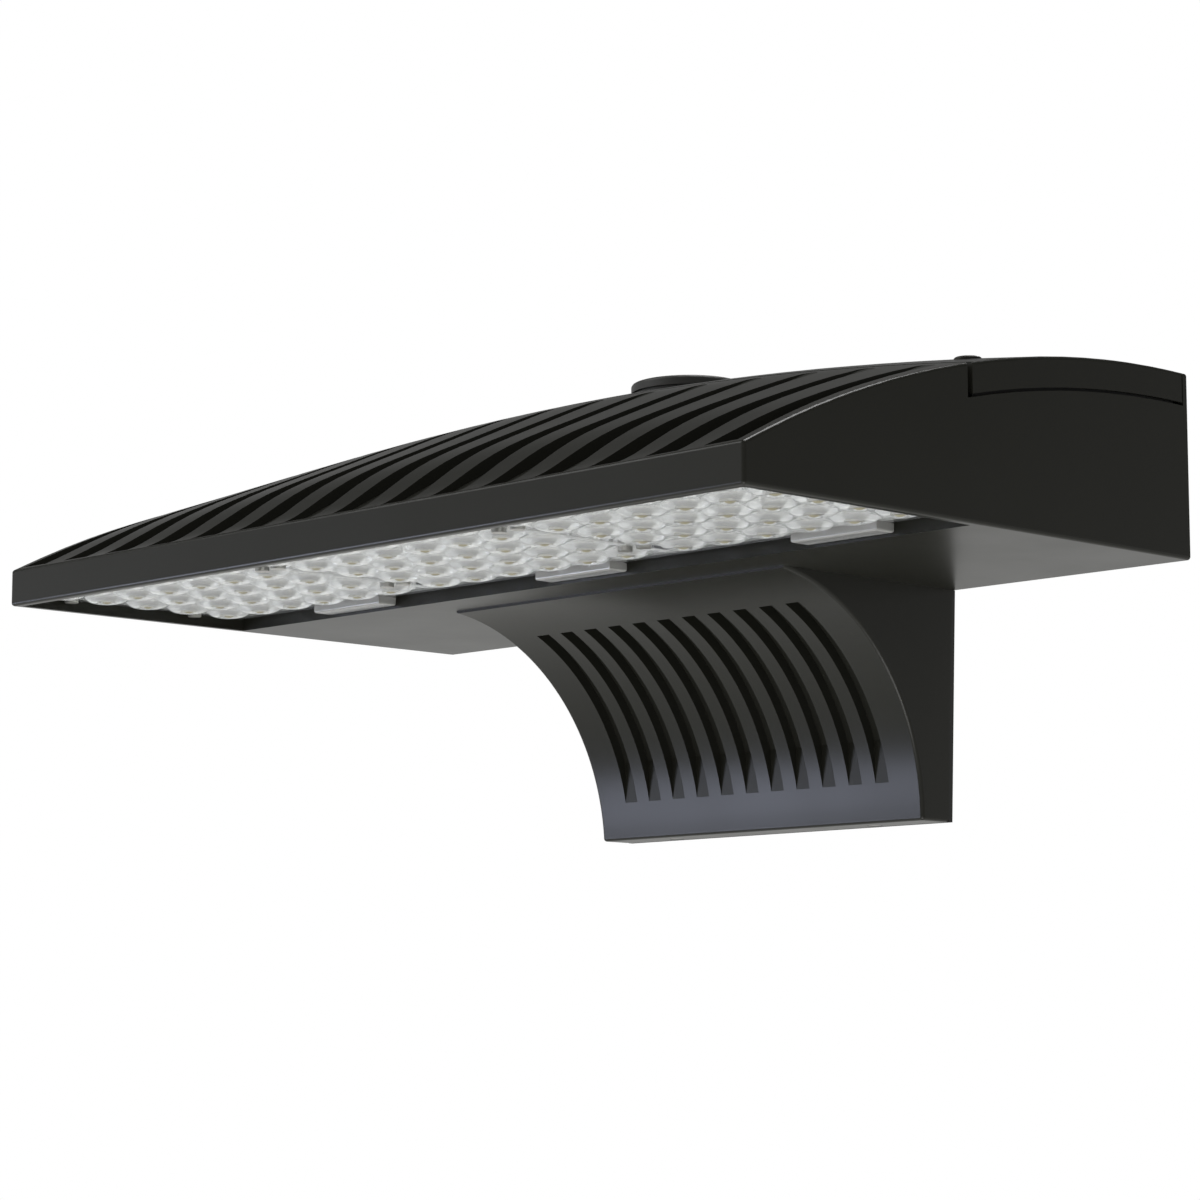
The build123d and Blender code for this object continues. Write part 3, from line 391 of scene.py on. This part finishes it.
def moulded_acrylic(look):
    """Clear acrylic, injection moulded: it bends the light of the white board behind into bright and dark patches."""
    material, tree, shader = new_material(
        "moulded_acrylic", Base_Color=rgba(look.tint), IOR=1.49, Roughness=0.05, Transmission_Weight=0.8
    )
    # Flow of the melt leaves long, very shallow waves in the moulded face.
    ripple(tree, shader, object_place(tree), width=9, strength=0.3, height=0.1 * MM, detail=1.0)
    return material


def lens_places(low, high, look):
    """Columns and rows of the lenses of one plate."""
    middle = (low.x + high.x) / 2
    columns = [middle + (i - (look.columns - 1) / 2) * look.pitch for i in range(look.columns)]
    rows = [low.y + look.first_row + i * look.pitch for i in range(look.rows)]
    return columns, rows


def lens_rise(x, y, look):
    """Height of one lens over its plate, x and y from its middle: a rounded dome with a dimple under the LED."""
    u, v = abs(x) / (look.lens_width / 2), abs(y) / (look.lens_length / 2)
    reach = u**LENS_SQUARENESS + v**LENS_SQUARENESS
    if reach >= 1:
        return 0.0
    dimple = 1 - DIMPLE_DEPTH * exp(-reach / DIMPLE_REACH)
    return look.lens_height * (1 - reach) ** LENS_BLUNTNESS * dimple


def ladder(low, high, places, half):
    """Grid lines from low to high that follow each lens closely and skip the flat plate between them."""
    lines = {low, high}
    for place in places:
        lines.update(place + half * (2 * i / LENS_STEPS - 1) for i in range(LENS_STEPS + 1))
    return sorted(lines)


def mould_lens_plate(name, node, look, material):
    """Plate in the place of one CAD node, with its lenses raised on the lower face."""
    low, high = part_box(node)
    face = low.z + look.lens_height
    columns, rows = lens_places(low, high, look)
    xs = ladder(low.x, high.x, columns, look.lens_width / 2)
    ys = ladder(low.y, high.y, rows, look.lens_length / 2)

    def level(x, y):
        from_column = min((x - column for column in columns), key=abs)
        from_row = min((y - row for row in rows), key=abs)
        return face - lens_rise(from_column, from_row, look)

    # The lower vertices come first, row by row, then the upper ones in the same order.
    vertices = [(x, y, level(x, y)) for y in ys for x in xs] + [(x, y, high.z) for y in ys for x in xs]
    wide, top = len(xs), len(xs) * len(ys)
    faces = []
    for j in range(len(ys) - 1):
        for i in range(wide - 1):
            a = j * wide + i
            faces.append((a, a + wide, a + wide + 1, a + 1))
            faces.append((top + a, top + a + 1, top + a + wide + 1, top + a + wide))
    for i in range(wide - 1):
        last = (len(ys) - 1) * wide + i
        faces.append((i, i + 1, top + i + 1, top + i))
        faces.append((last + 1, last, top + last, top + last + 1))
    for j in range(len(ys) - 1):
        a, b = j * wide, (j + 1) * wide
        faces.append((b, a, top + a, top + b))
        faces.append((a + wide - 1, b + wide - 1, top + b + wide - 1, top + a + wide - 1))
    mesh = bpy.data.meshes.new(name)
    mesh.from_pydata(vertices, [], faces)
    mesh.validate()
    for polygon in mesh.polygons:
        polygon.use_smooth = abs(polygon.normal.z) > FLAT_ENOUGH
    mesh.materials.append(material)
    plate = new_object(name, mesh)
    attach(plate, "head")
    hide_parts(node)


def dispensed_silicone(look):
    """Silicone dispensed over an LED's phosphor: a small, dull dome that shows dark through the lens."""
    return new_material("dispensed_silicone", Base_Color=rgba(look.dome), Roughness=0.45, IOR=1.41)[0]


def seat_led_domes(name, node, look, material):
    """The LED's own dome behind each lens of a plate: the lower halves of flattened balls, all in one mesh."""
    low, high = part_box(node)
    crown = low.z + look.lens_height * DOME_CROWN
    level = low.z + look.lens_height + DOME_DEPTH
    columns, rows = lens_places(low, high, look)
    size = Matrix.Diagonal((look.dome_width, look.dome_width, 2 * (level - crown), 1.0))
    form = bmesh.new()
    for x in columns:
        for y in rows:
            bmesh.ops.create_uvsphere(
                form,
                u_segments=DOME_SEGMENTS,
                v_segments=DOME_RINGS,
                radius=0.5,
                matrix=Matrix.Translation((x, y, level)) @ size,
            )
    bmesh.ops.bisect_plane(
        form,
        geom=form.verts[:] + form.edges[:] + form.faces[:],
        plane_co=(0, 0, level),
        plane_no=(0, 0, 1),
        clear_outer=True,
    )
    mesh = bpy.data.meshes.new(name)
    form.to_mesh(mesh)
    form.free()
    mesh.shade_smooth()
    mesh.materials.append(material)
    domes = new_object(name, mesh)
    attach(domes, "head")


class WALLPACK_OT_mould_lens_plates(bpy.types.Operator):
    """Moulds the lens plates with rounded lenses over the LEDs' domes, and finishes the connector covers"""

    bl_idname = "wall_pack.mould_lens_plates"
    bl_label = "Mould the lens plates"

    def execute(self, context):
        look = context.scene.wall_pack_optics
        material = moulded_acrylic(look)
        silicone = dispensed_silicone(look)
        # Clear polycarbonate, moulded over a connector: milky, in about the tone of the lenses beside it.
        milky, *_ = new_material(
            "moulded_polycarbonate",
            Base_Color=rgba(look.cover),
            IOR=1.58,
            Roughness=0.2,
            Transmission_Weight=0.6,
        )
        for side in SIDES:
            mould_lens_plate(f"moulded_lens_plate_{side}", f"lens_plate_{side}", look, material)
            seat_led_domes(f"led_domes_{side}", f"lens_plate_{side}", look, silicone)
            dress(milky, f"connector_cover_{side}")
        return {"FINISHED"}


class WALLPACK_OT_finish_led_boards(bpy.types.Operator):
    """Finishes the LED boards and their LEDs"""

    bl_idname = "wall_pack.finish_led_boards"
    bl_label = "Finish the LED boards"

    def execute(self, context):
        look = context.scene.wall_pack_optics
        # White solder mask, screen printed on an aluminium-core board: bright and a little glossy.
        mask, *_ = new_material("white_solder_mask", Base_Color=rgba(look.board), Roughness=0.35)
        # Phosphor in silicone, dispensed over each LED: a dull, even yellow.
        glow, *_ = new_material("dispensed_phosphor", Base_Color=rgba(look.phosphor), Roughness=0.55)
        dress(mask, *[f"led_board_{side}" for side in SIDES])
        dress(glow, "led_chips")
        return {"FINISHED"}


# ---------------------------------------------------------------- seals


def moulded_rubber(look):
    """Silicone and foam rubber, moulded: nearly matt, with a fine skin that scatters what little it reflects."""
    material, tree, shader = new_material(
        "moulded_rubber", Base_Color=rgba(look.rubber), Roughness=0.8, IOR=1.43
    )
    ripple(tree, shader, object_place(tree), width=0.8, strength=0.3, height=0.1 * MM)
    return material


class WALLPACK_OT_finish_seals(bpy.types.Operator):
    """Gives the gaskets, seals and grommet their rubber"""

    bl_idname = "wall_pack.finish_seals"
    bl_label = "Finish the seals"

    def execute(self, context):
        material = moulded_rubber(context.scene.wall_pack_plastics)
        dress(material, "lid_gasket", "receptacle_gasket", "cap_seal", "wall_gasket", "wire_grommet")
        dress(material, *[f"optic_gasket_{side}" for side in SIDES])
        return {"FINISHED"}


# ---------------------------------------------------------------- photocontrol


class WALLPACK_OT_finish_photocontrol(bpy.types.Operator):
    """Finishes the twist-lock cap, its receptacle and their contacts"""

    bl_idname = "wall_pack.finish_photocontrol"
    bl_label = "Finish the photocontrol"

    def execute(self, context):
        plastics = context.scene.wall_pack_plastics
        # Polypropylene, injection moulded in a spark-eroded tool: an even satin grain about 0.5 mm wide.
        material, tree, shader = new_material(
            "moulded_polypropylene", Base_Color=rgba(plastics.control), Roughness=0.5, IOR=1.49
        )
        ripple(tree, shader, object_place(tree), width=0.5, strength=0.3, height=0.05 * MM)
        dress(material, "photocontrol_cap", "photocontrol_receptacle")
        # Brass strip, stamped and left bare: warm and fairly bright, dulled by handling.
        brass, *_ = new_material(
            "stamped_brass",
            Base_Color=rgba(context.scene.wall_pack_metals.brass),
            Metallic=1.0,
            Roughness=0.32,
        )
        dress(brass, "cap_blades", "receptacle_terminals")
        return {"FINISHED"}


# ---------------------------------------------------------------- metal parts


class WALLPACK_OT_finish_fasteners(bpy.types.Operator):
    """Finishes the screws, studs, bolts, washers and hinge pins"""

    bl_idname = "wall_pack.finish_fasteners"
    bl_label = "Finish the fasteners"

    def execute(self, context):
        metals = context.scene.wall_pack_metals
        # Stainless steel, cold headed and tumbled: grey, with soft highlights.
        stainless, *_ = new_material(
            "tumbled_stainless_steel", Base_Color=rgba(metals.stainless), Metallic=1.0, Roughness=0.34
        )
        dress(
            stainless,
            "front_stud_clip",
            "rear_stud_clip",
            "lid_hinge_pins",
            "catch_screws",
            "optic_screws",
            "case_screws",
            "tray_screws",
            "receptacle_screws",
            "bracket_screws",
            "terminal_screws",
        )
        # Steel, turned and black passivated to match the lid: dark, with a dull metallic edge.
        blackened, *_ = new_material(
            "black_passivated_steel", Base_Color=rgba(metals.black), Metallic=0.8, Roughness=0.42
        )
        dress(blackened, "front_lid_stud", "rear_lid_stud")
        # Steel, zinc plated and clear passivated: slightly blue and a little cloudy.
        plated, *_ = new_material("zinc_plated_steel", Base_Color=rgba(metals.zinc), Metallic=1.0, Roughness=0.4)
        dress(plated, "cowl_bolts", "cowl_washers")
        # Steel, plated and green passivated: marks the ground connection.
        green, *_ = new_material("green_passivated_steel", Base_Color=rgba(metals.green), Metallic=0.8, Roughness=0.4)
        dress(green, "ground_screw")
        return {"FINISHED"}


class WALLPACK_OT_finish_sheet_metal(bpy.types.Operator):
    """Finishes the driver tray, the catch plates and the wall plate"""

    bl_idname = "wall_pack.finish_sheet_metal"
    bl_label = "Finish the sheet metal"

    def execute(self, context):
        metals = context.scene.wall_pack_metals
        # Hot-dip galvanised sheet: zinc freezes in crystals about 8 mm wide, the darker ones a little glossier.
        material, tree, shader = new_material("galvanised_sheet", Metallic=1.0)
        spangle = add_node(
            tree, "ShaderNodeTexVoronoi", values={"Scale": per_metre(8)}, links={"Vector": object_place(tree)}
        )
        tone = add_node(tree, "ShaderNodeSeparateColor", links={"Color": spangle.outputs["Color"]}).outputs["Red"]
        shade = add_node(
            tree,
            "ShaderNodeMix",
            settings={"data_type": "RGBA"},
            values={"A": rgba([c * DARK_CRYSTAL for c in metals.zinc]), "B": rgba(metals.zinc)},
            links={"Factor": tone},
        )
        tree.links.new(shade.outputs["Result"], shader.inputs["Base Color"])
        roughness = add_node(
            tree, "ShaderNodeMapRange", values={"To Min": 0.34, "To Max": 0.5}, links={"Value": tone}
        )
        tree.links.new(roughness.outputs["Result"], shader.inputs["Roughness"])
        dress(material, "driver_tray", "catch_plates", "wall_plate", "plate_hooks", "plate_lugs")
        return {"FINISHED"}


# ---------------------------------------------------------------- electrical pieces in the bay


class WALLPACK_OT_finish_electrics(bpy.types.Operator):
    """Finishes the driver, the surge protector and the terminal block"""

    bl_idname = "wall_pack.finish_electrics"
    bl_label = "Finish the electrics"

    def execute(self, context):
        plastics = context.scene.wall_pack_plastics
        # Deep-drawn aluminium can with a pale coil coat: smooth and satin.
        can, *_ = new_material("coil_coated_can", Base_Color=rgba(plastics.driver), Roughness=0.38)
        dress(can, "driver")
        # Polycarbonate box filled with potting compound: dark and slightly glossy.
        potted, *_ = new_material("potted_polycarbonate", Base_Color=rgba(plastics.surge), Roughness=0.3)
        dress(potted, "surge_protector")
        # Polyamide, moulded: cream, with a waxy satin surface.
        nylon, *_ = new_material("moulded_polyamide", Base_Color=rgba(plastics.terminal), Roughness=0.45)
        dress(nylon, "terminal_block")
        return {"FINISHED"}


# ---------------------------------------------------------------- stage


def softbox(name, place, target, width, power):
    """Square area light that faces a target, and that the camera doesn't see."""
    light = bpy.data.lights.new(name, "AREA")
    light.shape = "SQUARE"
    light.size = width
    light.energy = power
    lamp = new_object(name, light)
    lamp.location = place
    lamp.rotation_euler = (Vector(target) - Vector(place)).to_track_quat("-Z", "Y").to_euler()
    lamp.visible_camera = False
    return light


class WALLPACK_OT_set_stage(bpy.types.Operator):
    """Sets up the floor, the soft light and the camera"""

    bl_idname = "wall_pack.set_stage"
    bl_label = "Set the stage"

    def execute(self, context):
        look = context.scene.wall_pack_stage
        self.lay_floor(look)
        self.light_room(context.scene, look)
        self.place_camera(context.scene, look)
        context.scene.view_settings.view_transform = "Standard"
        return {"FINISHED"}

    def lay_floor(self, look):
        """Wide pale floor. The camera sees it mostly white, and it still takes the object's shadow."""
        level = CAD_BOX[0][2] - look.drop
        corners = [(x * FLOOR_HALF, y * FLOOR_HALF, level) for x, y in ((-1, -1), (1, -1), (1, 1), (-1, 1))]
        mesh = bpy.data.meshes.new("studio_floor")
        mesh.from_pydata(corners, [], [(0, 1, 2, 3)])
        material, tree, shader = new_material("studio_floor", Base_Color=rgba(look.floor), Roughness=0.9)
        white = add_node(tree, "ShaderNodeEmission", values={"Strength": 1.0})
        rays = add_node(tree, "ShaderNodeLightPath")
        share = add_node(
            tree,
            "ShaderNodeMath",
            settings={"operation": "MULTIPLY"},
            links={0: rays.outputs["Is Camera Ray"]},
            values={1: FLOOR_WHITE},
        )
        blend = add_node(
            tree,
            "ShaderNodeMixShader",
            links={0: share.outputs[0], 1: shader.outputs[0], 2: white.outputs[0]},
        )
        tree.links.new(blend.outputs[0], tree.nodes["Material Output"].inputs["Surface"])
        mesh.materials.append(material)
        new_object("studio_floor", mesh)

    def light_room(self, scene, look):
        """Soft light all round, softboxes high on the left and overhead, weaker ones low on the left and below."""
        world = bpy.data.worlds.new("studio")
        scene.world = world
        world.use_nodes = True
        tree = world.node_tree
        tree.nodes.clear()
        rays = add_node(tree, "ShaderNodeLightPath")
        # The camera sees white, also through clear pieces and in gloss. All other rays find a softer light.
        seen = rays.outputs["Is Camera Ray"]
        for kind in ("Is Glossy Ray", "Is Transmission Ray"):
            seen = add_node(
                tree,
                "ShaderNodeMath",
                settings={"operation": "MAXIMUM"},
                links={0: seen, 1: rays.outputs[kind]},
            ).outputs[0]
        soft = add_node(tree, "ShaderNodeBackground", values={"Color": rgba(look.floor), "Strength": look.ambient})
        white = add_node(tree, "ShaderNodeBackground", values={"Color": (1, 1, 1, 1), "Strength": 1.0})
        blend = add_node(tree, "ShaderNodeMixShader", links={0: seen, 1: soft.outputs[0], 2: white.outputs[0]})
        # In gloss that white is only low down. Overhead the room is dim, a little dimmer on the right.
        direction = add_node(tree, "ShaderNodeTexCoord").outputs["Generated"]
        aside = add_node(
            tree,
            "ShaderNodeVectorMath",
            settings={"operation": "DOT_PRODUCT"},
            values={1: GLOSS_UP},
            links={0: direction},
        )
        dim = add_node(
            tree,
            "ShaderNodeMapRange",
            values={"From Min": GLOSS_WHITE, "From Max": GLOSS_DIM, "To Min": 1.0, "To Max": look.ceiling},
            links={"Value": aside.outputs["Value"]},
        )
        room = add_node(tree, "ShaderNodeBackground", links={"Strength": dim.outputs["Result"]})
        blend = add_node(
            tree,
            "ShaderNodeMixShader",
            links={0: rays.outputs["Is Glossy Ray"], 1: blend.outputs[0], 2: room.outputs[0]},
        )
        add_node(tree, "ShaderNodeOutputWorld", links={"Surface": blend.outputs[0]})
        lights = {
            name: softbox(f"{name}_softbox", place, target, width, getattr(look, name))
            for name, (place, target, width) in SOFTBOXES.items()
        }
        lights["fill"].color = look.cool

    def place_camera(self, scene, look):
        """Long lens, low in front of the right end, looking up at the lens plates."""
        data = bpy.data.cameras.new("studio_camera")
        data.sensor_width = CAMERA_SENSOR
        data.lens = look.lens
        camera = new_object("studio_camera", data)
        camera.location = CAMERA_PLACE
        camera.rotation_euler = Euler((radians(CAMERA_TILT), 0.0, radians(CAMERA_HEADING)))
        scene.camera = camera


# ---------------------------------------------------------------- panel and registration

OPERATORS = (
    WALLPACK_OT_coat_castings,
    WALLPACK_OT_mould_lens_plates,
    WALLPACK_OT_finish_led_boards,
    WALLPACK_OT_finish_seals,
    WALLPACK_OT_finish_photocontrol,
    WALLPACK_OT_finish_fasteners,
    WALLPACK_OT_finish_sheet_metal,
    WALLPACK_OT_finish_electrics,
    WALLPACK_OT_set_stage,
)
SETTINGS = {
    "wall_pack_castings": CastingSettings,
    "wall_pack_optics": OpticSettings,
    "wall_pack_metals": MetalSettings,
    "wall_pack_plastics": PlasticSettings,
    "wall_pack_stage": StageSettings,
}


class WALLPACK_PT_finishes(bpy.types.Panel):
    """Settings of the pieces and of the stage, and a button for each operator"""

    bl_idname = "WALLPACK_PT_finishes"
    bl_label = "Wall Pack Light"
    bl_space_type = "VIEW_3D"
    bl_region_type = "UI"
    bl_category = "Wall Pack"

    def draw(self, context):
        layout = self.layout
        for name, group in SETTINGS.items():
            settings = getattr(context.scene, name)
            box = layout.box()
            for field in group.__annotations__:
                box.prop(settings, field)
        for operator in OPERATORS:
            layout.operator(operator.bl_idname)


def register():
    """Registers the settings, the operators and the panel, and adds the settings to every scene."""
    for group in SETTINGS.values():
        bpy.utils.register_class(group)
    for operator in OPERATORS:
        bpy.utils.register_class(operator)
    bpy.utils.register_class(WALLPACK_PT_finishes)
    for name, group in SETTINGS.items():
        setattr(bpy.types.Scene, name, PointerProperty(type=group))


def unregister():
    """Takes back what register did."""
    for name in SETTINGS:
        delattr(bpy.types.Scene, name)
    bpy.utils.unregister_class(WALLPACK_PT_finishes)
    for operator in reversed(OPERATORS):
        bpy.utils.unregister_class(operator)
    for group in reversed(SETTINGS.values()):
        bpy.utils.unregister_class(group)


def main():
    """Runs every operator in order."""
    register()
    for operator in OPERATORS:
        category, name = operator.bl_idname.split(".")
        getattr(getattr(bpy.ops, category), name)()


if __name__ == "__main__":
    main()
